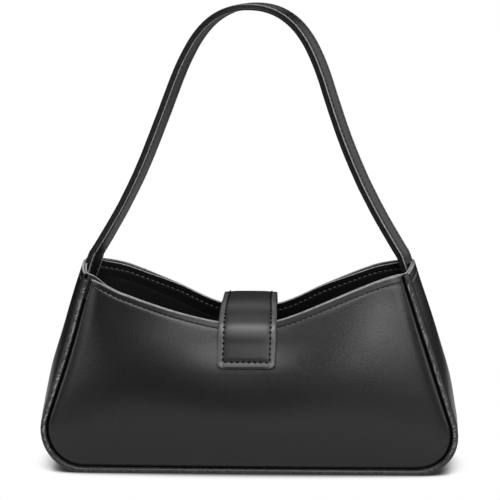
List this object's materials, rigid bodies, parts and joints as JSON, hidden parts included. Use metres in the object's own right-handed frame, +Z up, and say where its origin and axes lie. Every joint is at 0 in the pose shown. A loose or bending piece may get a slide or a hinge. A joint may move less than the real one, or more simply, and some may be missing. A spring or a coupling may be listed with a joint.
{
  "type": "baguette bag",
  "caption": "Small shoulder bag with a dipped open mouth, a closure tab that holds shut by hidden magnets, and an arched strap that folds to either side.",
  "frame": {"origin": "on the floor, under the middle of the base", "axes": "+X to the wearer's side of the width, front panel faces -Y, +Z up"},
  "size_m": [0.266, 0.0833, 0.2968],
  "materials": {
    "body_leather": "smooth black leather with a soft sheen",
    "strap_leather": "smooth black leather, painted edges",
    "welt_leather": "raised stitched seam edge, painted",
    "facing_leather": "smooth black leather, satin",
    "lining_fabric": "fine black woven lining",
    "reinforcement": "pressed fibre board",
    "magnet_steel": "plated steel magnet"
  },
  "bodies": {
    "bag": {"front_panel": "body_leather", "back_panel": "body_leather", "gusset": "body_leather", "tab_back": "body_leather", "left_strap_end": "strap_leather", "right_strap_end": "strap_leather", "front_welt": "welt_leather", "back_welt": "welt_leather", "front_facing": "facing_leather", "back_facing": "facing_leather", "left_facing": "facing_leather", "right_facing": "facing_leather", "front_lining": "lining_fabric", "back_lining": "lining_fabric", "gusset_lining": "lining_fabric", "front_stiffener": "reinforcement", "back_stiffener": "reinforcement", "base_board": "reinforcement", "panel_magnet": "magnet_steel"},
    "tab": {"tab_outer": "body_leather", "tab_stiffener": "reinforcement", "tab_lining": "facing_leather", "tab_magnet": "magnet_steel"},
    "strap": {"strap_outer": "strap_leather", "strap_core": "reinforcement", "strap_lining": "strap_leather"}
  },
  "joints": [
    {"name": "tab_hinge", "type": "hinge", "parent": "bag", "child": "tab", "pos_m": [0, 0.03494, 0.09382], "axis": [-1, 0, 0], "range_deg": [0, 150]},
    {"name": "strap_fold", "type": "hinge", "parent": "bag", "child": "strap", "pos_m": [0, 0, 0.13748], "axis": [1, 0, 0], "range_deg": [-90, 90]}
  ]
}
